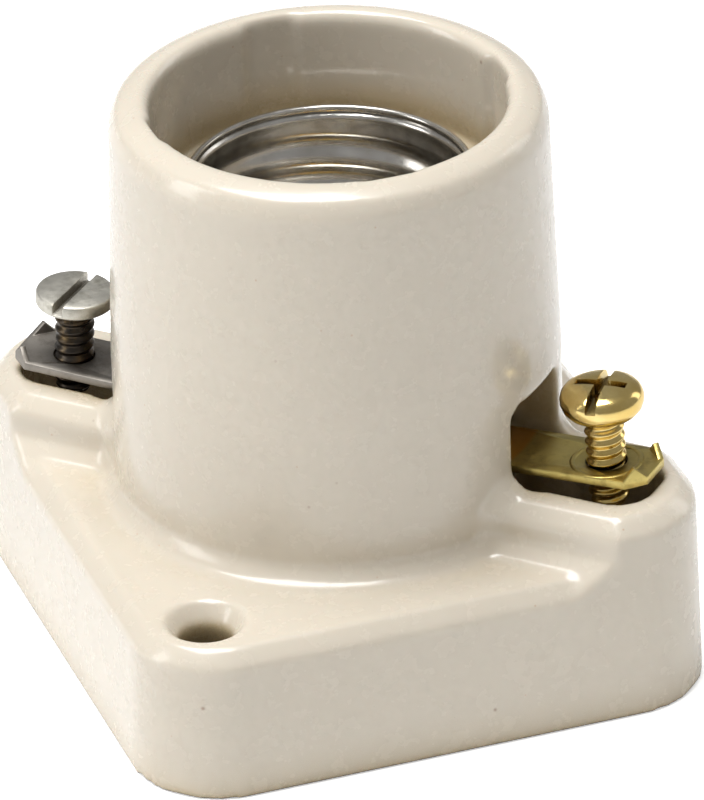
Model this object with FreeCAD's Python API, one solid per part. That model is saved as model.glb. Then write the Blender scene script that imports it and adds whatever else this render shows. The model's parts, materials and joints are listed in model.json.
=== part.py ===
"""Keyless surface-mount lamp holder: porcelain body, screw shell, centre contact and two side terminals.

Millimetres. +Z is up, out of the mouth. The origin is on the tower's axis, in the plane of the underside.
Everything is built on the bench, where +X runs along the terminals' line towards the brass screw, and is then
turned into place, so that the brass terminal stands over the +X -Y corner and the nickel one over -X +Y.
"""
import FreeCAD, Part
import math
import os

V = FreeCAD.Vector
UP = V(0, 0, 1)
ACROSS = V(0, 1, 0)
ORIGIN = V(0, 0, 0)
BENCH_ANGLE = 45.0

# Base of the porcelain body
base_width = 57.2
base_depth = 60.0
base_height = 15.6
base_corner_r = 9.0
base_draft = 1.2
body_edge_bevel = 1.6

# Ribs that carry the terminals
rib_half_width = 8.5
rib_height = 21.0

# Tower
tower_top_z = 56.3
tower_top_r = 20.93
tower_wall_r = 21.65
tower_waist_z = 30.0
tower_rim_r = 2.4
tower_rim_steps = 2
tower_foot_bevel = 1.4

# Mouth above the screw shell, with shallow flutes
mouth_r = 16.95
mouth_floor_z = 45.0
mouth_edge_bevel = 0.6
flute_count = 4
flute_width = 5.6
flute_depth = 0.5
flute_offset = 45.0

# Cavity for the shell, and the recess under the rivets
cavity_floor_z = 22.0
underside_recess_r = 14.5
underside_recess_z = 14.0

# Notches in the tower and pockets in the ribs
notch_half_width = 5.05
notch_top_z = 29.0
notch_depth = 5.1
notch_reach = 24.4
notch_corner_r = 1.5
pocket_half_width = 4.6
pocket_reach = 33.4
pocket_corner_r = 3.6
pocket_floor_z = 12.0
slot_headroom = 0.7

# Mounting holes, on the base's other diagonal
hole_circle_d = 61.8
hole_r = 2.5
hole_mouth_r = 3.9
hole_mouth_depth = 1.8

# Straps and their terminal plates
strap_thickness = 0.8
strap_width = 7.3
strap_bend_at = 15.4
strap_rise = 3.3
strap_end_r = 2.4
strap_end_play = 0.3
plate_length = 18.15
ear_leg = 1.7
ear_thickness = 0.6
brass_strap_inner_end = -3.6
nickel_strap_inner_end = 7.4
nickel_strap_skew = 3.6

# Screw shell
shell_rim_z = 48.3
shell_rim_r = 13.77
shell_play = 0.6
shell_sheet = 0.4
shell_foot_r = 12.9
shell_foot_height = 4.4
window_length = 16.0
window_width = 9.0

# Insulating disc
disc_thickness = 0.8
disc_play = 0.3

# Centre contact
contact_sheet = 0.4
contact_width = 5.0
contact_top_z = 26.8
contact_crown_at = 0.6
contact_tip_at = 5.0
contact_tip_drop = 1.2
contact_fold_at = 5.2
contact_fold_r = 1.2
contact_leg_end = 3.2

# Rivets
rivet_r = 1.25
rivet_play = 0.1
rivet_head_r = 2.0
rivet_head_height = 0.8
rivet_offset = 10.4
clinch_r = 1.9
clinch_height = 0.7

# Terminal screws
brass_screw_from_bend = 13.05
nickel_screw_from_bend = 12.7
brass_screw_gap = 5.05
nickel_screw_gap = 5.8
shank_r = 1.95
shank_play = 0.05
shank_length = 9.5
brass_head_r = 4.05
brass_head_height = 3.35
nickel_head_r = 3.85
nickel_head_height = 1.5
head_edge_bevel = 0.35
pan_belly_share = 0.55
pan_crown_share = 0.6
driver_slot_width = 1.05
brass_slot_depth = 1.2
nickel_slot_depth = 1.1
brass_slot_turn = 98.0
nickel_slot_turn = 90.0

# Derived
disc_top_z = cavity_floor_z + disc_thickness
shell_floor_top_z = disc_top_z + shell_sheet
shell_bore_r = shell_rim_r + shell_play
strap_floor_z = cavity_floor_z - strap_thickness
contact_foot_z = cavity_floor_z + contact_sheet
notch_back = tower_wall_r - notch_depth
mount_angle = math.degrees(math.atan2(base_depth, base_width)) + BENCH_ANGLE


def turned(shape, angle):
    """A copy turned about the tower's axis."""
    copy = shape.copy()
    copy.rotate(ORIGIN, UP, angle)
    return copy


def box(low, high):
    """The block between two opposite corners."""
    size = high.sub(low)
    return Part.makeBox(size.x, size.y, size.z, low)


def post(radius, low_z, high_z, x=0.0, y=0.0):
    """An upright cylinder."""
    return Part.makeCylinder(radius, high_z - low_z, V(x, y, low_z))


def turned_profile(edges):
    """The solid swept by a closed profile in the XZ plane, about the Z axis."""
    return Part.Face(Part.Wire(edges)).revolve(ORIGIN, UP, 360)


def line(start, end):
    return Part.LineSegment(start, end).toShape()


def arc(start, middle, end):
    return Part.Arc(start, middle, end).toShape()


def polygon(points):
    return Part.Face(Part.makePolygon(points + points[:1]))


def turned_polygon(corners):
    """The solid turned from a closed polygon in the XZ plane."""
    return turned_profile([line(a, b) for a, b in zip(corners, corners[1:] + corners[:1])])


def rounding(center_x, center_z, radius, start, stop, steps):
    """Points on an arc in the XZ plane, from angle start to angle stop, both ends included."""
    angles = [math.radians(start + (stop - start) * i / steps) for i in range(steps + 1)]
    return [V(center_x + radius * math.cos(a), 0, center_z + radius * math.sin(a)) for a in angles]


def countersink(bore_r, mouth_r_at_top, depth, top_z):
    """What opens a bore's mouth out to a wider circle at top_z."""
    low_z = top_z - depth
    return turned_polygon([V(0, 0, low_z), V(bore_r, 0, low_z), V(mouth_r_at_top, 0, top_z), V(0, 0, top_z)])


# ---- Porcelain body


def outline(inset, z):
    """The base's rounded outline, drawn in by inset."""
    half_x = base_width / 2 - inset
    half_y = base_depth / 2 - inset
    prism = box(V(-half_x, -half_y, z), V(half_x, half_y, z + 1))
    uprights = [e for e in prism.Edges if e.BoundBox.ZLength > 0.5]
    rounded = prism.makeFillet(base_corner_r - inset, uprights)
    bottom = [f for f in rounded.Faces if f.BoundBox.ZMax < z + 0.5][0]
    return bottom.OuterWire


def plate(top_z):
    """The base's drafted block up to top_z, with its top edge bevelled."""
    shoulder_z = top_z - body_edge_bevel
    slope = math.tan(math.radians(base_draft))
    crown = outline(top_z * slope + body_edge_bevel, top_z)
    return Part.makeLoft([outline(0, 0), outline(shoulder_z * slope, shoulder_z), crown], True, True)


def rib_bar():
    """A bar along the terminals' line, with the ribs' section: bevelled on top and flared into the plate."""
    far = base_width + base_depth
    foot_z = base_height - body_edge_bevel
    side = [
        V(-far, rib_half_width + 2 * body_edge_bevel, foot_z),
        V(-far, rib_half_width, base_height + body_edge_bevel),
        V(-far, rib_half_width, rib_height - body_edge_bevel),
        V(-far, rib_half_width - body_edge_bevel, rib_height),
    ]
    other_side = [V(p.x, -p.y, p.z) for p in reversed(side)]
    return polygon(side + other_side).extrude(V(2 * far, 0, 0))


def ribbed_base():
    """The base plate with both ribs."""
    ribs = turned(plate(rib_height), BENCH_ANGLE).common(rib_bar())
    return turned(plate(base_height), BENCH_ANGLE).fuse(ribs)


def tower():
    """The tower: a straight wall up to its waist, a drafted one above it, and a rounded rim."""
    start_z = base_height / 2
    wall = [V(0, 0, start_z), V(tower_wall_r, 0, start_z), V(tower_wall_r, 0, tower_waist_z)]
    rim = rounding(tower_top_r - tower_rim_r, tower_top_z - tower_rim_r, tower_rim_r, 0, 90, tower_rim_steps)
    return turned_polygon(wall + rim + [V(0, 0, tower_top_z)])


def on_tower(edge):
    """Whether an edge lies on the tower's wall, below its rim."""
    span = edge.LastParameter - edge.FirstParameter
    for share in (0.02, 0.5, 0.98):
        point = edge.valueAt(edge.FirstParameter + share * span)
        off_wall = abs(math.hypot(point.x, point.y) - tower_wall_r)
        if off_wall > 0.05 or point.z > rib_height + 0.1 or point.z < base_height - 0.1:
            return False
    return True


def solid_moulding():
    """The body's outer form, with its drafts and soft edges, before anything is cut."""
    body = ribbed_base().fuse(tower())
    return body.makeChamfer(tower_foot_bevel, [e for e in body.Edges if on_tower(e)])


def mouth_cutters():
    """The mouth, its bevelled edge and the flutes down its wall."""
    cutters = [post(mouth_r, mouth_floor_z, tower_top_z + 1)]
    cutters.append(countersink(mouth_r, mouth_r + mouth_edge_bevel, mouth_edge_bevel, tower_top_z))
    half = flute_width / 2
    slab = box(V(0, -half, mouth_floor_z), V(mouth_r + flute_depth + 1, half, tower_top_z + 1))
    flute = slab.common(post(mouth_r + flute_depth, mouth_floor_z, tower_top_z + 1))
    for i in range(flute_count):
        cutters.append(turned(flute, flute_offset + 360.0 * i / flute_count))
    return cutters


def terminal_cutters(inner_end):
    """The notch, the pocket and the strap's groove on one side, with the strap's inner end at inner_end."""
    notch_low = V(notch_back, -notch_half_width, pocket_floor_z)
    notch = box(notch_low, V(notch_reach, notch_half_width, notch_top_z))
    upper = [e for e in notch.Edges if e.BoundBox.ZMin > notch_top_z - 0.01 and e.BoundBox.XLength > 1]
    outer = [e for e in notch.Edges if e.BoundBox.XMin > notch_reach - 0.01 and e.BoundBox.ZLength > 1]
    notch = notch.makeFillet(notch_corner_r, upper + outer)
    pocket_low = V(notch_back, -pocket_half_width, pocket_floor_z)
    pocket = box(pocket_low, V(pocket_reach, pocket_half_width, notch_top_z))
    ends = [e for e in pocket.Edges if e.BoundBox.XMin > pocket_reach - 0.01 and e.BoundBox.ZLength > 1]
    pocket = pocket.makeFillet(pocket_corner_r, ends)
    below_rib_top = box(V(0, -rib_half_width, 0), V(pocket_reach, rib_half_width, rib_height + 1))
    pocket = pocket.common(below_rib_top)
    groove_low = V(inner_end, -notch_half_width, strap_floor_z)
    groove = box(groove_low, V(notch_back, notch_half_width, cavity_floor_z))
    slot_top_z = cavity_floor_z + slot_headroom
    slot_low = V(shell_bore_r - 1, -notch_half_width, strap_floor_z)
    slot = box(slot_low, V(notch_back, notch_half_width, slot_top_z))
    return [notch, pocket, groove, slot]


def mounting_hole_cutters():
    """Both mounting holes, with their mouths opened out."""
    hole = post(hole_r, -1, base_height + 1)
    cutter = hole.fuse(countersink(hole_r, hole_mouth_r, hole_mouth_depth, base_height))
    cutter.translate(V(hole_circle_d / 2, 0, 0))
    return [turned(cutter, mount_angle), turned(cutter, mount_angle + 180)]


def rivet_places():
    """Where the contact rivet, the shell's strap rivet and the shell's floor rivet stand."""
    return [(0, 0), (-rivet_offset, 0), (0, rivet_offset)]


def porcelain_body():
    cutters = mouth_cutters() + mounting_hole_cutters()
    cutters.append(post(shell_bore_r, cavity_floor_z, mouth_floor_z + 1))
    cutters.append(post(underside_recess_r, -1, underside_recess_z))
    cutters += terminal_cutters(brass_strap_inner_end - strap_end_play)
    cutters += [turned(c, 180) for c in terminal_cutters(nickel_strap_inner_end - strap_end_play)]
    for x, y in rivet_places():
        cutters.append(post(rivet_r + rivet_play, underside_recess_z - 1, cavity_floor_z + 1, x, y))
    return solid_moulding().cut(cutters)


# ---- Screw shell


def window(low_z, high_z):
    """The opening for the centre contact, through the shell's floor and the disc."""
    low = V(-window_length / 2, -window_width / 2, low_z)
    return box(low, V(window_length / 2, window_width / 2, high_z))


def with_rivet_holes(shape, low_z, high_z):
    """The shape with holes for the rivets that hold the shell."""
    for x, y in rivet_places()[1:]:
        shape = shape.cut(post(rivet_r + rivet_play, low_z, high_z, x, y))
    return shape


def screw_shell():
    """The drawn cup: a wall at the thread's major radius, a narrower foot, and a floor with a window."""
    shoulder_z = disc_top_z + shell_foot_height
    outer = [V(0, 0, disc_top_z), V(shell_foot_r, 0, disc_top_z), V(shell_foot_r, 0, shoulder_z),
             V(shell_rim_r, 0, shoulder_z), V(shell_rim_r, 0, shell_rim_z)]
    inner = [V(p.x - shell_sheet, 0, p.z + shell_sheet) for p in reversed(outer[1:-1])]
    inner = [V(shell_rim_r - shell_sheet, 0, shell_rim_z)] + inner + [V(0, 0, shell_floor_top_z)]
    cup = turned_polygon(outer + inner).cut(window(disc_top_z, shell_floor_top_z))
    return with_rivet_holes(cup, disc_top_z, shell_floor_top_z)


def insulating_disc():
    disc = post(shell_bore_r - disc_play, cavity_floor_z, disc_top_z)
    disc = disc.cut(window(cavity_floor_z, disc_top_z))
    return with_rivet_holes(disc, cavity_floor_z, disc_top_z)


# ---- Straps


def lifted(shape):
    """Puts a shape built on the flat terminal plate, from its bend, onto the rising plate."""
    copy = shape.copy()
    copy.rotate(ORIGIN, ACROSS, -strap_rise)
    copy.translate(V(strap_bend_at, 0, strap_floor_z))
    return copy


def on_nickel_side(shape):
    """Swings a shape about its rivet by the strap's skew, and takes it to the other side of the tower."""
    copy = shape.copy()
    copy.rotate(V(rivet_offset, 0, 0), UP, nickel_strap_skew)
    return turned(copy, 180)


def ear(side):
    """A corner of the plate folded straight up, with its fold across the corner."""
    half = strap_width / 2
    corner = V(plate_length, side * half, strap_thickness)
    inner = V(plate_length - ear_leg, side * half, strap_thickness)
    outer = V(plate_length, side * (half - ear_leg), strap_thickness)
    middle = inner.add(outer).multiply(0.5)
    top = middle.add(V(0, 0, ear_leg / math.sqrt(2)))
    inwards = middle.sub(corner).normalize().multiply(ear_thickness)
    foot = V(0, 0, -strap_thickness)
    upper = polygon([inner, outer, top]).extrude(inwards)
    lower = polygon([inner, outer, outer.add(foot), inner.add(foot)]).extrude(inwards)
    return upper.fuse(lower)


def terminal_plate(screw_from_bend):
    half = strap_width / 2
    corners = [V(0, -half, 0), V(plate_length - ear_leg, -half, 0), V(plate_length, ear_leg - half, 0),
               V(plate_length, half - ear_leg, 0), V(plate_length - ear_leg, half, 0), V(0, half, 0)]
    plate = polygon(corners).extrude(V(0, 0, strap_thickness))
    plate = plate.fuse([ear(-1), ear(1)])
    return plate.cut(post(shank_r + shank_play, -1, strap_thickness + 1, screw_from_bend, 0))


def strap(inner_end, rivet_x, screw_from_bend):
    """A strap from its round inner end, through the tower's wall, to its terminal plate."""
    half = strap_width / 2
    flat = box(V(inner_end, -half, strap_floor_z), V(strap_bend_at, half, cavity_floor_z))
    ends = [e for e in flat.Edges if e.BoundBox.XMax < inner_end + 0.01 and e.BoundBox.ZLength > 0.1]
    flat = flat.makeFillet(strap_end_r, ends)
    whole = flat.fuse(lifted(terminal_plate(screw_from_bend))).removeSplitter()
    return whole.cut(post(rivet_r + rivet_play, strap_floor_z - 1, cavity_floor_z + 1, rivet_x, 0))


def contact_terminal_strap():
    return strap(brass_strap_inner_end, 0, brass_screw_from_bend)


def shell_terminal_strap():
    return on_nickel_side(strap(nickel_strap_inner_end, rivet_offset, nickel_screw_from_bend))


# ---- Centre contact, rivets and washers


def center_contact():
    """A folded spring tongue: flat foot, round fold, and an arched leg that the lamp's tip presses down."""
    middle = contact_sheet / 2
    foot_z = cavity_floor_z + middle
    crown_z = contact_top_z - middle
    fold_z = foot_z + 2 * contact_fold_r
    foot_end = V(contact_leg_end, 0, foot_z)
    fold_low = V(-contact_fold_at, 0, foot_z)
    fold_far = V(-contact_fold_at - contact_fold_r, 0, foot_z + contact_fold_r)
    fold_high = V(-contact_fold_at, 0, fold_z)
    crown = V(contact_crown_at, 0, crown_z)
    tip = V(contact_tip_at, 0, crown_z - contact_tip_drop)
    fold = arc(fold_low, fold_far, fold_high)
    path = Part.Wire([line(foot_end, fold_low), fold, arc(fold_high, crown, tip)])
    ribbon = path.makeOffset2D(middle, 0, False, True).Wires[0]
    other = path.makeOffset2D(-middle, 0, False, True).Wires[0]
    return ribbon_solid(ribbon, other)


def ribbon_solid(one, other):
    """The strip between two parallel open wires in the XZ plane, centred across."""
    a = one.OrderedVertexes
    b = other.OrderedVertexes
    start = line(a[0].Point, b[0].Point)
    end = line(a[-1].Point, b[-1].Point)
    face = Part.Face(Part.Wire(Part.sortEdges(one.Edges + [end] + other.Edges + [start])[0]))
    face.translate(V(0, -contact_width / 2, 0))
    solid = face.extrude(V(0, contact_width, 0))
    return solid.cut(post(rivet_r + rivet_play, cavity_floor_z - 1, cavity_floor_z + contact_fold_r))


def rivet(seat_z, place):
    """A rivet whose head sits at seat_z and whose tail is clinched in the underside's recess."""
    x, y = place
    head_z = seat_z + rivet_head_height
    tail_z = underside_recess_z - clinch_height
    profile = [V(0, 0, tail_z), V(clinch_r, 0, tail_z), V(clinch_r, 0, underside_recess_z),
               V(rivet_r, 0, underside_recess_z), V(rivet_r, 0, seat_z),
               V(rivet_head_r, 0, seat_z), V(rivet_head_r, 0, head_z), V(0, 0, head_z)]
    whole = turned_polygon(profile)
    whole.translate(V(x, y, 0))
    return whole


# ---- Terminal screws, built on the plate's own axes


def shank():
    """The shank, at its thread's outer radius, below a head whose underside is at height 0."""
    return post(shank_r, -shank_length, 0)


def pan_head():
    """A high head with a straight belly and a sloping crown."""
    belly_z = pan_belly_share * brass_head_height
    crown_r = pan_crown_share * brass_head_r
    return turned_polygon([ORIGIN, V(brass_head_r, 0, 0), V(brass_head_r, 0, belly_z),
                           V(crown_r, 0, brass_head_height), V(0, 0, brass_head_height)])


def cheese_head():
    """A low flat-topped head with a bevelled upper edge."""
    corners = [ORIGIN, V(nickel_head_r, 0, 0), V(nickel_head_r, 0, nickel_head_height - head_edge_bevel),
               V(nickel_head_r - head_edge_bevel, 0, nickel_head_height), V(0, 0, nickel_head_height)]
    return turned_polygon(corners)


def driver_slot(head_r, head_height, depth, turn):
    half = driver_slot_width / 2
    slot = box(V(-head_r - 1, -half, head_height - depth), V(head_r + 1, half, head_height + 1))
    return turned(slot, turn)


def seated(screw, from_bend, gap):
    """Stands a screw in its plate's hole, backed out by the gap that takes the wire."""
    copy = screw.copy()
    copy.translate(V(from_bend, 0, strap_thickness + gap))
    return lifted(copy)


def brass_terminal_screw():
    screw = pan_head().fuse(shank())
    screw = screw.cut(driver_slot(brass_head_r, brass_head_height, brass_slot_depth, brass_slot_turn))
    return seated(screw, brass_screw_from_bend, brass_screw_gap)


def nickel_terminal_screw():
    screw = cheese_head().fuse(shank())
    screw = screw.cut(driver_slot(nickel_head_r, nickel_head_height, nickel_slot_depth, nickel_slot_turn))
    return on_nickel_side(seated(screw, nickel_screw_from_bend, nickel_screw_gap))


def build():
    contact_place, strap_place, floor_place = rivet_places()
    parts = {
        "porcelain_body": porcelain_body(),
        "screw_shell": screw_shell(),
        "insulating_disc": insulating_disc(),
        "contact_terminal_strap": contact_terminal_strap(),
        "shell_terminal_strap": shell_terminal_strap(),
        "center_contact": center_contact(),
        "contact_rivet": rivet(contact_foot_z, contact_place),
        "shell_strap_rivet": rivet(shell_floor_top_z, strap_place),
        "shell_floor_rivet": rivet(shell_floor_top_z, floor_place),
        "brass_terminal_screw": brass_terminal_screw(),
        "nickel_terminal_screw": nickel_terminal_screw(),
    }
    os.makedirs("parts", exist_ok=True)
    for name, shape in parts.items():
        placed = turned(shape.Solids[0], -BENCH_ANGLE)
        placed.exportStep(f"parts/{name}.step")
        print(name, placed.ShapeType, len(placed.Solids), placed.isValid(), round(placed.Volume, 2))


build()
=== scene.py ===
"""Looks for the keyless porcelain lamp holder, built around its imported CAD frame. Metres, +Z up."""
import json
import math

import bmesh
import bpy
from mathutils import Matrix, Vector

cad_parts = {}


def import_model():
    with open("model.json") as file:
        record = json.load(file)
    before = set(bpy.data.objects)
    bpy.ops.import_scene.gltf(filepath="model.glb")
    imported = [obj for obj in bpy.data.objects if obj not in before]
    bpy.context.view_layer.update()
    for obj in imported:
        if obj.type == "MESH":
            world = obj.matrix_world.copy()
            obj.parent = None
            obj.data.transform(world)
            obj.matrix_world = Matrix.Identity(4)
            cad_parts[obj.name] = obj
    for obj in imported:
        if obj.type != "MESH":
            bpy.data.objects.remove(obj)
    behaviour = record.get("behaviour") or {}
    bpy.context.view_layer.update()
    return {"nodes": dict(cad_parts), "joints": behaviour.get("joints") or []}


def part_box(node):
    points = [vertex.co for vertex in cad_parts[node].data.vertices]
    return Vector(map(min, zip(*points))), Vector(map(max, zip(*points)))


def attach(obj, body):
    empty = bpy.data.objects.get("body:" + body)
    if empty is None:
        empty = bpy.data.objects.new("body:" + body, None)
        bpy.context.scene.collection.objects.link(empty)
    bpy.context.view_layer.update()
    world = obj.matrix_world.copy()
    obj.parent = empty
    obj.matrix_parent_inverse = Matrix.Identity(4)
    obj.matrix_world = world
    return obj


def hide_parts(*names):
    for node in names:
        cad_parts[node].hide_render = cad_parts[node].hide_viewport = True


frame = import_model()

MM = 0.001
NODES = frame["nodes"]

# ---- Driving sizes, in millimetres

PORCELAIN_VOXEL = 0.42
PORCELAIN_TRIANGLES = 150000
PORCELAIN_SMOOTHING = 9
PORCELAIN_SMOOTHING_SHARE = 0.5

THREAD_PITCH = 3.629
THREAD_DEPTH = 0.84
SHELL_SHEET = 0.4
SHELL_PLAY = 0.02
SHELL_HEM_HEIGHT = 0.9
SHELL_HEM_FLARE = 0.35
SHELL_HEM_BLEND = 0.25
SHELL_HEM_THICKENING = 0.7
SHELL_NECK_HEIGHT = 1.3
SHELL_NECK_OVERLAP = 0.4
SHELL_RUN_OUT = 2.2
SHELL_FOOT_HEIGHT = 4.4
SHELL_FOOT_DROP = 0.87
SHELL_FOOT_BLEND = 1.2
SHELL_FLOOR_HOLE_R = 8.2
SHELL_FLOOR_INSET = 0.2
SHELL_AROUND = 160
SHELL_STEP = 0.2
# The lip's rings: share of the way from the outer wall to the inner one, and height above them
SHELL_LIP = ((0.12, 0.09), (0.38, 0.12), (0.62, 0.02), (0.86, 0.09))
SHELL_LIP_ROOM = 0.12

SHANK_R = 1.95
SHANK_INTO_HEAD = 0.25
SHANK_TIP_LENGTH = 0.9
SHANK_TIP_TAPER = 0.35
SCREW_PITCH = 1.06
SCREW_THREAD_DEPTH = 0.32
SCREW_AROUND = 40
SCREW_STEP = 0.1
HEAD_AROUND = 72
HEAD_EDGE = 0.1
DRIVER_SLOT_WIDTH = 1.05
CROSS_HALF_WIDTH = 0.5
CROSS_EXTRA_DEPTH = 0.4
CROSS_REACH = 2.5
BRASS_SLOT_DEPTH = 1.45
BRASS_SLOT_TURN = 8
NICKEL_SLOT_DEPTH = 1.1
NICKEL_SLOT_TURN = 0
CUT_SPARE = 1

# Head profiles, as radius and height above the head's underside
PAN_HEAD = (
    (0, 0), (2.7, 0), (3.4, 0.3), (3.82, 0.8), (4.03, 1.4), (4.05, 1.9), (3.9, 2.4), (3.55, 2.85),
    (2.9, 3.17), (1.7, 3.32), (0, 3.35),
)
CHEESE_HEAD = ((0, 0), (3.6, 0), (3.85, 0.2), (3.85, 1.12), (3.72, 1.38), (3.4, 1.5), (0, 1.5))

STRAP_EDGE = 0.09
COINED_RING_R = 3.3
COINED_RING_HALF_WIDTH = 0.26
COINED_RING_HEIGHT = 0.09
COINED_RING_AROUND = 96
COINED_RING_STEPS = 10
BRASS_GAP = 5.05

# Vertices closer than these are joined, in a CAD copy and in a turned ring
NODE_JOIN = 0.002
RING_JOIN = 0.0001

# Glaze specks: cells per metre, share of cells that hold one, strength and colour
SPECKS = (
    (420, 0.05, 0.60, (0.20, 0.09, 0.04)),
    (760, 0.07, 0.45, (0.42, 0.20, 0.07)),
    (1500, 0.10, 0.30, (0.30, 0.24, 0.17)),
)

FLOOR_SIZE = 4000.0
FLOOR_GLOW = 0.5
WORLD_LEVEL = 0.30

# Lamps, in metres and watts: name, place, width and height, power
LAMPS = (
    ("overhead", (-0.12, 0.0, 0.75), (0.42, 0.42), 6.6),
    ("left", (-0.80, 0.10, 0.34), (0.24, 0.6), 1.9),
    ("right", (0.70, 0.10, 0.28), (0.22, 0.5), 0.55),
)
LAMP_AIM = (0, 0, 0.03)

# Camera, in metres, with its lens in millimetres
LENS = 405.0
SENSOR = 36.0
CAMERA_PLACE = (-0.23802, -0.7162, 0.45046)
CAMERA_RIGHT = (0.943, -0.332, -0.028)
CAMERA_UP = (0.187, 0.457, 0.870)


# ---- Mesh helpers


def new_object(name, bm, material, smooth_angle=35):
    """A finished mesh object from a bmesh, shaded smooth up to an angle."""
    mesh = bpy.data.meshes.new(name)
    bmesh.ops.recalc_face_normals(bm, faces=bm.faces)
    bm.to_mesh(mesh)
    bm.free()
    obj = bpy.data.objects.new(name, mesh)
    bpy.context.scene.collection.objects.link(obj)
    mesh.materials.append(material)
    mesh.shade_smooth()
    mesh.set_sharp_from_angle(angle=math.radians(smooth_angle))
    return obj


def apply_modifiers(obj):
    """Bakes the object's modifiers into its mesh."""
    graph = bpy.context.evaluated_depsgraph_get()
    mesh = bpy.data.meshes.new_from_object(obj.evaluated_get(graph))
    old = obj.data
    obj.modifiers.clear()
    obj.data = mesh
    bpy.data.meshes.remove(old)


def copy_of_node(name, node, material):
    """A free copy of a CAD node's mesh, with its doubled vertices joined."""
    mesh = NODES[node].data.copy()
    mesh.materials.clear()
    mesh.materials.append(material)
    obj = bpy.data.objects.new(name, mesh)
    bpy.context.scene.collection.objects.link(obj)
    bm = bmesh.new()
    bm.from_mesh(mesh)
    bmesh.ops.remove_doubles(bm, verts=bm.verts, dist=NODE_JOIN * MM)
    bm.to_mesh(mesh)
    bm.free()
    return obj


def lathe(bm, profile, around, matrix=None):
    """Turns a closed (radius, height) profile in millimetres about Z; points on the axis are shared."""
    rings = []
    for radius, height in profile:
        if radius < 1e-6:
            rings.append([bm.verts.new((0, 0, height * MM))])
            continue
        ring = []
        for i in range(around):
            a = 2 * math.pi * i / around
            ring.append(bm.verts.new((radius * math.cos(a) * MM, radius * math.sin(a) * MM, height * MM)))
        rings.append(ring)
    for low, high in zip(rings, rings[1:]):
        for i in range(around):
            j = (i + 1) % around
            if len(low) == 1:
                bm.faces.new((low[0], high[i], high[j]))
            elif len(high) == 1:
                bm.faces.new((low[i], low[j], high[0]))
            else:
                bm.faces.new((low[i], low[j], high[j], high[i]))
    if matrix:
        bmesh.ops.transform(bm, matrix=matrix, verts=bm.verts)


def smoothstep(x):
    x = min(max(x, 0.0), 1.0)
    return x * x * (3 - 2 * x)


def cut(obj, cutter):
    """Subtracts a cutter object and removes it."""
    mod = obj.modifiers.new("cut", "BOOLEAN")
    mod.operation = "DIFFERENCE"
    mod.solver = "EXACT"
    mod.object = cutter
    apply_modifiers(obj)
    bpy.data.objects.remove(cutter)


# ---- Node materials


class Nodes:
    """Short calls for building one material's node tree."""

    def __init__(self, name):
        self.material = bpy.data.materials.new(name)
        self.material.use_nodes = True
        self.tree = self.material.node_tree
        self.shader = self.tree.nodes["Principled BSDF"]
        self.place = self.add("ShaderNodeTexCoord").outputs["Object"]

    def add(self, kind, **settings):
        node = self.tree.nodes.new(kind)
        for key, value in settings.items():
            setattr(node, key, value)
        return node

    def link(self, out, socket):
        self.tree.links.new(out, socket)

    def noise(self, scale, detail=4.0, roughness=0.55, place=None):
        node = self.add("ShaderNodeTexNoise")
        node.inputs["Scale"].default_value = scale
        node.inputs["Detail"].default_value = detail
        node.inputs["Roughness"].default_value = roughness
        self.link(place or self.place, node.inputs["Vector"])
        return node.outputs["Fac"]

    def cells(self, scale):
        """Distance to, and random colour of, the nearest scattered point."""
        node = self.add("ShaderNodeTexVoronoi")
        node.inputs["Scale"].default_value = scale
        self.link(self.place, node.inputs["Vector"])
        return node.outputs["Distance"], node.outputs["Color"]

    def red(self, colour):
        node = self.add("ShaderNodeSeparateColor")
        self.link(colour, node.inputs["Color"])
        return node.outputs["Red"]

    def ramp(self, fac, stops):
        node = self.add("ShaderNodeValToRGB")
        elements = node.color_ramp.elements
        while len(elements) < len(stops):
            elements.new(0.5)
        for element, (position, colour) in zip(elements, stops):
            element.position = position
            element.color = (*colour, 1.0)
        self.link(fac, node.inputs["Fac"])
        return node.outputs["Color"]

    def grey(self, fac, low, high, at_low=0.0, at_high=1.0):
        """Maps a value's stretch from at_low to at_high onto low to high."""
        node = self.add("ShaderNodeMapRange")
        for key, value in zip(("From Min", "From Max", "To Min", "To Max"), (at_low, at_high, low, high)):
            node.inputs[key].default_value = value
        self.link(fac, node.inputs["Value"])
        return node.outputs["Result"]

    def mix(self, fac, a, b):
        node = self.add("ShaderNodeMix", data_type="RGBA")
        for socket, value in ((node.inputs[0], fac), (node.inputs[6], a), (node.inputs[7], b)):
            if isinstance(value, (int, float)):
                socket.default_value = value
            elif isinstance(value, tuple):
                socket.default_value = (*value, 1.0)
            else:
                self.link(value, socket)
        return node.outputs[2]

    def math(self, operation, a, b):
        node = self.add("ShaderNodeMath", operation=operation)
        for socket, value in ((node.inputs[0], a), (node.inputs[1], b)):
            if isinstance(value, (int, float)):
                socket.default_value = value
            else:
                self.link(value, socket)
        return node.outputs[0]

    def bump(self, height, strength, distance_mm):
        node = self.add("ShaderNodeBump")
        node.inputs["Strength"].default_value = strength
        node.inputs["Distance"].default_value = distance_mm * MM
        self.link(height, node.inputs["Height"])
        self.link(node.outputs["Normal"], self.shader.inputs["Normal"])

    def set(self, **values):
        for key, value in values.items():
            self.shader.inputs[key.replace("_", " ")].default_value = value


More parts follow.
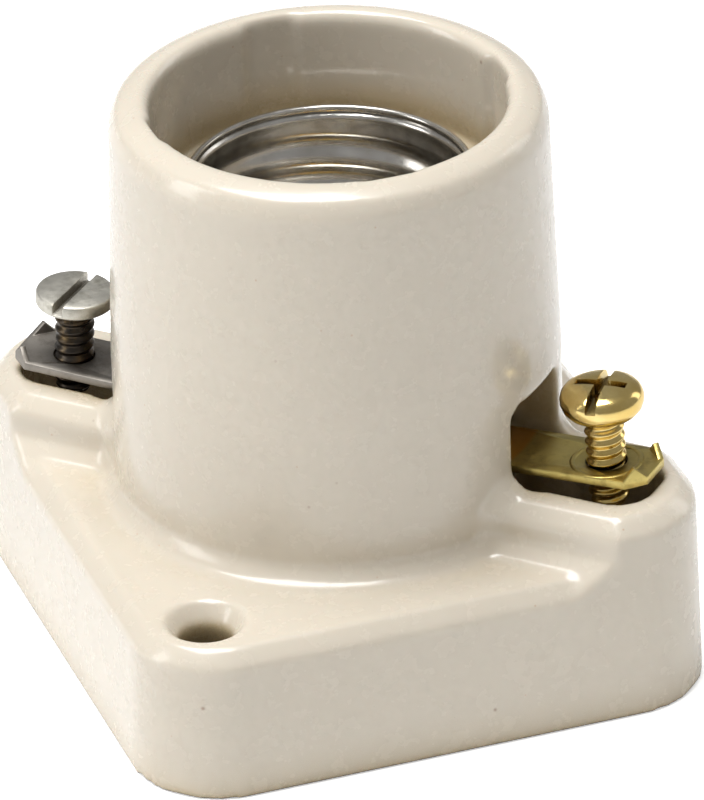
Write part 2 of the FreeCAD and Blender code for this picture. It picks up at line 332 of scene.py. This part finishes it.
def porcelain_material():
    """Cream glaze over an uneven body: faint clouds, tiny iron specks, a wavy skin and painted shade
    darkening its recesses.
    """
    m = Nodes("porcelain_glaze")
    base = m.ramp(m.noise(70, detail=5), [(0.3, (0.60, 0.54, 0.445)), (0.7, (0.62, 0.56, 0.465))])
    for scale, share, strength, colour in SPECKS:
        distance, pick = m.cells(scale)
        chosen = m.math("GREATER_THAN", m.red(pick), 1 - share)
        spot = m.math("MULTIPLY", m.grey(distance, 1.0, 0.0, 0.04, 0.11), chosen)
        base = m.mix(m.math("MULTIPLY", spot, strength), base, colour)
    # Painted shade: an occlusion node turns the glaze tan in recesses and near black in the deepest ones,
    # such as the pocket under the plate.
    hollow = m.add("ShaderNodeAmbientOcclusion", samples=6)
    hollow.inputs["Distance"].default_value = 10 * MM
    openness = hollow.outputs["AO"]
    base = m.mix(m.grey(openness, 0.9, 0.0, 0.25, 0.66), base, (0.46, 0.34, 0.15))
    base = m.mix(m.grey(openness, 1.0, 0.0, 0.10, 0.28), base, (0.018, 0.010, 0.007))
    m.link(base, m.shader.inputs["Base Color"])
    m.link(m.grey(m.noise(520), 0.24, 0.29, 0.3, 0.7), m.shader.inputs["Roughness"])
    m.set(IOR=1.5, Coat_Weight=0.35, Coat_Roughness=0.1, Subsurface_Weight=0.04, Subsurface_Scale=0.001)
    m.bump(m.noise(240, detail=2), 0.10, 0.30)
    return m.material


def metal_material(name, low, high, rough, grain, scratches=0.25, tarnish=None,
                   crevice_shade=(0.05, 0.03, 0.015), tower_reflection=None):
    """A metal with cloudy colour, uneven polish, fine scratches, painted shade in its crevices and, where
    asked, tarnish.
    """
    m = Nodes(name)
    colour = m.ramp(m.noise(260, detail=6), [(0.32, low), (0.68, high)])
    if tarnish:
        patches = m.grey(m.noise(520, detail=7, roughness=0.7), 0.0, 0.85, 0.48, 0.68)
        colour = m.mix(patches, colour, tarnish)
    # Painted reflection: within about 20 mm of the tower's axis the colour turns orange-brown, as the shaded
    # porcelain tower shows in the plate.
    if tower_reflection:
        flat = m.add("ShaderNodeVectorMath", operation="MULTIPLY")
        flat.inputs[1].default_value = (1, 1, 0)
        m.link(m.place, flat.inputs[0])
        reach = m.add("ShaderNodeVectorMath", operation="LENGTH")
        m.link(flat.outputs["Vector"], reach.inputs[0])
        colour = m.mix(m.grey(reach.outputs["Value"], 1.0, 0.0, 19.6 * MM, 20.1 * MM), colour, tower_reflection)
    # Painted shade: occlusion within 2.2 mm darkens the metal to a near-black brown in crevices, between
    # thread turns and under the plate.
    crevice = m.add("ShaderNodeAmbientOcclusion", samples=4)
    crevice.inputs["Distance"].default_value = 2.2 * MM
    colour = m.mix(m.grey(crevice.outputs["AO"], 0.95, 0.0, 0.16, 0.60), colour, crevice_shade)
    m.link(colour, m.shader.inputs["Base Color"])
    m.link(m.grey(m.noise(900, detail=6), rough[0], rough[1], 0.3, 0.7), m.shader.inputs["Roughness"])
    m.set(Metallic=1.0)
    stretch = m.add("ShaderNodeMapping")
    stretch.inputs["Scale"].default_value = grain
    m.link(m.place, stretch.inputs["Vector"])
    m.bump(m.noise(1500, detail=3, place=stretch.outputs["Vector"]), scratches, 0.03)
    return m.material


def shell_material():
    return metal_material("shell_nickel", (0.56, 0.53, 0.48), (0.72, 0.70, 0.66), (0.14, 0.26), (1, 1, 14))


def brass_material():
    return metal_material("screw_brass", (0.74, 0.53, 0.17), (0.87, 0.69, 0.30), (0.12, 0.26), (1, 1, 3))


def brass_plate_material():
    # The orange-brown given for the plate near the tower is a painted reflection of the shaded porcelain.
    return metal_material("plate_brass", (0.50, 0.40, 0.13), (0.66, 0.54, 0.19), (0.28, 0.46), (3, 1, 1),
                          tarnish=(0.34, 0.26, 0.08), tower_reflection=(0.62, 0.36, 0.08))


def dull_nickel_material():
    return metal_material("screw_nickel", (0.52, 0.50, 0.445), (0.70, 0.68, 0.61), (0.38, 0.52), (1, 5, 1),
                          scratches=0.6, tarnish=(0.34, 0.32, 0.26))


# A near-black thread: the code only sets its colour very dark.
def near_black_thread_material():
    return metal_material("thread_near_black", (0.035, 0.03, 0.028), (0.07, 0.06, 0.048), (0.26, 0.42),
                          (1, 1, 3), tarnish=(0.13, 0.085, 0.035))


def dark_plate_material():
    return metal_material("plate_dark_nickel", (0.25, 0.23, 0.205), (0.36, 0.335, 0.30), (0.46, 0.6),
                          (3, 1, 1), tarnish=(0.17, 0.15, 0.13))


def fibre_material():
    m = Nodes("vulcanised_fibre")
    m.link(m.ramp(m.noise(1100, detail=6), [(0.35, (0.09, 0.06, 0.045)), (0.65, (0.15, 0.11, 0.085))]),
           m.shader.inputs["Base Color"])
    m.set(Roughness=0.7)
    m.bump(m.noise(2600), 0.3, 0.04)
    return m.material


# ---- Porcelain


def porcelain(material):
    """The CAD body with every edge rounded as a thick glaze rounds it."""
    obj = copy_of_node("glazed_body", "porcelain_body", material)
    remesh = obj.modifiers.new("remesh", "REMESH")
    remesh.mode = "VOXEL"
    remesh.voxel_size = PORCELAIN_VOXEL * MM
    smooth = obj.modifiers.new("smooth", "SMOOTH")
    smooth.factor = PORCELAIN_SMOOTHING_SHARE
    smooth.iterations = PORCELAIN_SMOOTHING
    apply_modifiers(obj)
    triangles = sum(len(p.vertices) - 2 for p in obj.data.polygons)
    thin = obj.modifiers.new("thin", "DECIMATE")
    thin.ratio = min(1.0, PORCELAIN_TRIANGLES / triangles)
    apply_modifiers(obj)
    obj.data.shade_smooth()
    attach(obj, "holder")
    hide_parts("porcelain_body")


# ---- Screw shell


def shell_wall_r(z, low, high, rim_r, turn):
    """Outer radius of the rolled wall at height z and turn (in whole turns): foot, thread, neck and hem."""
    foot_top = low + SHELL_FOOT_HEIGHT
    neck_top = high - SHELL_HEM_HEIGHT - SHELL_NECK_HEIGHT + SHELL_NECK_OVERLAP
    mean = rim_r - THREAD_DEPTH / 2
    wave = 0.5 * THREAD_DEPTH * math.cos(2 * math.pi * (z / THREAD_PITCH - turn))
    fade = smoothstep((z - foot_top) / SHELL_RUN_OUT) * smoothstep((neck_top - z) / SHELL_RUN_OUT)
    radius = mean + wave * fade
    foot = smoothstep((foot_top + SHELL_FOOT_BLEND / 2 - z) / SHELL_FOOT_BLEND)
    radius += (rim_r - SHELL_FOOT_DROP - radius) * foot
    hem = smoothstep((z - (high - SHELL_HEM_HEIGHT - SHELL_HEM_FLARE)) / SHELL_HEM_FLARE)
    return radius + (rim_r - radius) * hem


def screw_shell(material):
    """The drawn cup, with its rolled thread, hemmed rim and floor."""
    lowest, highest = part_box("screw_shell")
    low, high, rim_r = lowest.z / MM, highest.z / MM, highest.x / MM
    heights = [low + SHELL_PLAY + SHELL_STEP * i for i in range(int((high - low) / SHELL_STEP))]
    while heights and heights[-1] > high - SHELL_LIP_ROOM:
        heights.pop()
    bm = bmesh.new()
    outer, tower_reflection = [], []
    for z in heights:
        outer_ring, inner_ring = [], []
        for i in range(SHELL_AROUND):
            a = 2 * math.pi * i / SHELL_AROUND
            r = shell_wall_r(z, low, high, rim_r, i / SHELL_AROUND)
            hem = smoothstep((z - (high - SHELL_HEM_HEIGHT)) / SHELL_HEM_BLEND)
            r_in = r - SHELL_SHEET * (1 + SHELL_HEM_THICKENING * hem)
            outer_ring.append(bm.verts.new((r * math.cos(a) * MM, r * math.sin(a) * MM, z * MM)))
            inner_ring.append(bm.verts.new((r_in * math.cos(a) * MM, r_in * math.sin(a) * MM, z * MM)))
        outer.append(outer_ring)
        tower_reflection.append(inner_ring)
    lip = []
    for share, lift in SHELL_LIP:
        ring = []
        for a_vert, b_vert in zip(outer[-1], tower_reflection[-1]):
            p = a_vert.co.lerp(b_vert.co, share)
            ring.append(bm.verts.new((p.x, p.y, p.z + lift * MM)))
        lip.append(ring)
    loop = outer + lip + tower_reflection[::-1]
    for one, two in zip(loop, loop[1:] + loop[:1]):
        for i in range(SHELL_AROUND):
            j = (i + 1) % SHELL_AROUND
            bm.faces.new((one[i], one[j], two[j], two[i]))
    obj = new_object("rolled_shell", bm, material, smooth_angle=50)
    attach(obj, "holder")
    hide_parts("screw_shell")
    shell_floor(low + SHELL_PLAY, rim_r - SHELL_FOOT_DROP - SHELL_FLOOR_INSET, material)


def shell_floor(low, ring_r, material):
    """The cup's floor, as a flat ring from height low."""
    high = low + SHELL_SHEET
    hole_r = SHELL_FLOOR_HOLE_R
    floor = bmesh.new()
    lathe(floor, [(hole_r, low), (ring_r, low), (ring_r, high), (hole_r, high), (hole_r, low)], SHELL_AROUND)
    bmesh.ops.remove_doubles(floor, verts=floor.verts, dist=RING_JOIN * MM)
    base = new_object("shell_floor", floor, material)
    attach(base, "holder")


# ---- Terminal screws


def screw_frame(node, axis):
    """The matrix that puts a screw built on Z onto its node's axis, and its whole length in millimetres."""
    z = Vector(axis).normalized()
    y = z.cross(Vector((1, 1, 0))).normalized()
    x = y.cross(z)
    across = [(x.dot(v.co), y.dot(v.co), z.dot(v.co)) for v in NODES[node].data.vertices]
    low = [min(p[k] for p in across) for k in range(3)]
    high = [max(p[k] for p in across) for k in range(3)]
    foot = x * (low[0] + high[0]) / 2 + y * (low[1] + high[1]) / 2 + z * low[2]
    turn = Matrix((x, y, z)).transposed().to_4x4()
    return Matrix.Translation(foot) @ turn, (high[2] - low[2]) / MM


def threaded_shank(bm, radius, length):
    """A rounded helical thread on Z from height 0 to length, closed at both ends."""
    count = int(length / SCREW_STEP)
    rings = []
    for k in range(count + 1):
        z = length * k / count
        taper = SHANK_TIP_TAPER * (1 - smoothstep(z / SHANK_TIP_LENGTH))
        ring = []
        for i in range(SCREW_AROUND):
            a = 2 * math.pi * i / SCREW_AROUND
            phase = 2 * math.pi * (z / SCREW_PITCH - i / SCREW_AROUND)
            r = radius - SCREW_THREAD_DEPTH * (0.5 - 0.5 * math.cos(phase)) - taper
            ring.append(bm.verts.new((r * math.cos(a) * MM, r * math.sin(a) * MM, z * MM)))
        rings.append(ring)
    for one, two in zip(rings, rings[1:]):
        for i in range(SCREW_AROUND):
            j = (i + 1) % SCREW_AROUND
            bm.faces.new((one[i], one[j], two[j], two[i]))
    bm.faces.new(rings[0][::-1])
    bm.faces.new(rings[-1])


def bar(name, half_x, half_y, low, high, turn, material):
    """A cutting bar, in millimetres, turned about Z in degrees."""
    bm = bmesh.new()
    bmesh.ops.create_cube(bm, size=1.0)
    size = Matrix.Diagonal((2 * half_x * MM, 2 * half_y * MM, (high - low) * MM, 1))
    lift = Matrix.Translation((0, 0, (high + low) / 2 * MM))
    bmesh.ops.transform(bm, matrix=Matrix.Rotation(math.radians(turn), 4, "Z") @ lift @ size, verts=bm.verts)
    return new_object(name, bm, material)


def coined_ring(name, matrix, plate_z, material):
    """The raised ring coined into a plate around its screw hole."""
    bm = bmesh.new()
    section = []
    for i in range(COINED_RING_STEPS + 1):
        a = 2 * math.pi * i / COINED_RING_STEPS
        radius = COINED_RING_R + COINED_RING_HALF_WIDTH * math.cos(a)
        section.append((radius, plate_z + COINED_RING_HEIGHT * math.sin(a)))
    lathe(bm, section, COINED_RING_AROUND, matrix)
    bmesh.ops.remove_doubles(bm, verts=bm.verts, dist=RING_JOIN * MM)
    ring = new_object(name, bm, material)
    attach(ring, "holder")


def terminal_screw(name, node, body, material, thread_material, axis, head, slot_depth, slot_turn,
                   cross=None):
    """A screw with a turned head, a driver slot, a rolled thread and, where asked, a cross of that reach."""
    matrix, total = screw_frame(node, axis)
    head_height = max(height for radius, height in head)
    shank = total - head_height
    bm = bmesh.new()
    lathe(bm, [(r, h + shank) for r, h in head], HEAD_AROUND)
    bmesh.ops.remove_doubles(bm, verts=bm.verts, dist=RING_JOIN * MM)
    top = new_object(name, bm, material, smooth_angle=40)
    reach = max(radius for radius, height in head) + CUT_SPARE
    low, high = total - slot_depth, total + CUT_SPARE
    cut(top, bar("slot", reach, DRIVER_SLOT_WIDTH / 2, low, high, slot_turn, material))
    if cross:
        low -= CROSS_EXTRA_DEPTH
        cut(top, bar("cross", cross, CROSS_HALF_WIDTH, low, high, slot_turn + 90, material))
    edge = top.modifiers.new("edge", "BEVEL")
    edge.width = HEAD_EDGE * MM
    edge.segments = 2
    edge.limit_method = "ANGLE"
    edge.angle_limit = math.radians(38)
    apply_modifiers(top)
    thread = bmesh.new()
    threaded_shank(thread, SHANK_R, shank + SHANK_INTO_HEAD)
    stem = new_object(name + "_thread", thread, thread_material, smooth_angle=60)
    for obj in (top, stem):
        obj.data.transform(matrix)
        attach(obj, body)
    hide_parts(node)
    return matrix, shank


# ---- Terminal plates


def strap(name, node, material):
    """The CAD strap with its sheared edges broken."""
    obj = copy_of_node(name, node, material)
    edge = obj.modifiers.new("edge", "BEVEL")
    edge.width = STRAP_EDGE * MM
    edge.segments = 2
    edge.limit_method = "ANGLE"
    edge.angle_limit = math.radians(40)
    apply_modifiers(obj)
    obj.data.shade_smooth()
    obj.data.set_sharp_from_angle(angle=math.radians(35))
    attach(obj, "holder")
    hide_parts(node)


# ---- Stage


def stage_material():
    """Pale paper that glows to the camera alone, so that it reads as white and keeps the shadow."""
    material = bpy.data.materials.new("pale_floor")
    material.use_nodes = True
    tree = material.node_tree
    shader = tree.nodes["Principled BSDF"]
    shader.inputs["Base Color"].default_value = (0.93, 0.93, 0.93, 1)
    shader.inputs["Roughness"].default_value = 0.9
    shader.inputs["Emission Color"].default_value = (1, 1, 1, 1)
    path = tree.nodes.new("ShaderNodeLightPath")
    glow = tree.nodes.new("ShaderNodeMath")
    glow.operation = "MULTIPLY"
    glow.inputs[1].default_value = FLOOR_GLOW
    tree.links.new(path.outputs["Is Camera Ray"], glow.inputs[0])
    tree.links.new(glow.outputs[0], shader.inputs["Emission Strength"])
    return material


def stage():
    bm = bmesh.new()
    bmesh.ops.create_grid(bm, x_segments=1, y_segments=1, size=FLOOR_SIZE / 2 * MM)
    floor = new_object("floor", bm, stage_material())


def world():
    """White to camera and transmission rays, and a plain soft level to all others."""
    scene = bpy.context.scene
    scene.world = bpy.data.worlds.new("studio")
    scene.world.use_nodes = True
    tree = scene.world.node_tree
    background = tree.nodes["Background"]
    path = tree.nodes.new("ShaderNodeLightPath")
    seen = tree.nodes.new("ShaderNodeMath")
    seen.operation = "MAXIMUM"
    tree.links.new(path.outputs["Is Camera Ray"], seen.inputs[0])
    tree.links.new(path.outputs["Is Transmission Ray"], seen.inputs[1])
    strength = tree.nodes.new("ShaderNodeMapRange")
    strength.inputs["To Min"].default_value = WORLD_LEVEL
    strength.inputs["To Max"].default_value = 1.0
    tree.links.new(seen.outputs[0], strength.inputs["Value"])
    tree.links.new(strength.outputs["Result"], background.inputs["Strength"])
    background.inputs["Color"].default_value = (1, 1, 1, 1)


def area_light(name, place, size, power):
    data = bpy.data.lights.new(name, "AREA")
    data.shape = "RECTANGLE"
    data.size, data.size_y = size
    data.energy = power
    obj = bpy.data.objects.new(name, data)
    obj.location = place
    obj.rotation_mode = "QUATERNION"
    obj.rotation_quaternion = (Vector(LAMP_AIM) - Vector(place)).to_track_quat("-Z", "Y")
    bpy.context.scene.collection.objects.link(obj)


def lights():
    for name, place, size, power in LAMPS:
        area_light(name, place, size, power)


def camera():
    """The camera at the viewing angle of the product shot."""
    data = bpy.data.cameras.new("camera")
    data.lens = LENS
    data.sensor_width = SENSOR
    data.clip_start = 0.01
    data.clip_end = 50
    obj = bpy.data.objects.new("camera", data)
    right = Vector(CAMERA_RIGHT)
    up = Vector(CAMERA_UP)
    back = right.cross(up).normalized()
    up = back.cross(right.normalized())
    obj.rotation_mode = "QUATERNION"
    obj.rotation_quaternion = Matrix((right.normalized(), up, back)).transposed().to_quaternion()
    obj.location = CAMERA_PLACE
    bpy.context.scene.collection.objects.link(obj)
    bpy.context.scene.camera = obj


# ---- Everything together


def joint_axis(name):
    return next(j["axis"] for j in frame["joints"] if j["name"] == name)


def paint(node, material):
    data = NODES[node].data
    data.materials.clear()
    data.materials.append(material)


def build():
    nickel = shell_material()
    brass = brass_material()
    porcelain(porcelain_material())
    screw_shell(nickel)
    brass_plate = brass_plate_material()
    dark_plate = dark_plate_material()
    strap("brass_plate", "contact_terminal_strap", brass_plate)
    strap("nickel_plate", "shell_terminal_strap", dark_plate)
    matrix, shank = terminal_screw(
        "brass_screw", "brass_terminal_screw", "brass_screw", brass, brass,
        joint_axis("brass_screw_advance"), PAN_HEAD, BRASS_SLOT_DEPTH, BRASS_SLOT_TURN, cross=CROSS_REACH)
    coined_ring("brass_ring", matrix, shank - BRASS_GAP, brass_plate)
    terminal_screw(
        "nickel_screw", "nickel_terminal_screw", "nickel_screw", dull_nickel_material(),
        near_black_thread_material(), joint_axis("nickel_screw_advance"), CHEESE_HEAD,
        NICKEL_SLOT_DEPTH, NICKEL_SLOT_TURN)
    paint("insulating_disc", fibre_material())
    for node in ("center_contact", "contact_rivet", "shell_strap_rivet", "shell_floor_rivet"):
        paint(node, brass)


build()
stage()
world()
lights()
camera()
bpy.context.scene.view_settings.view_transform = "Standard"
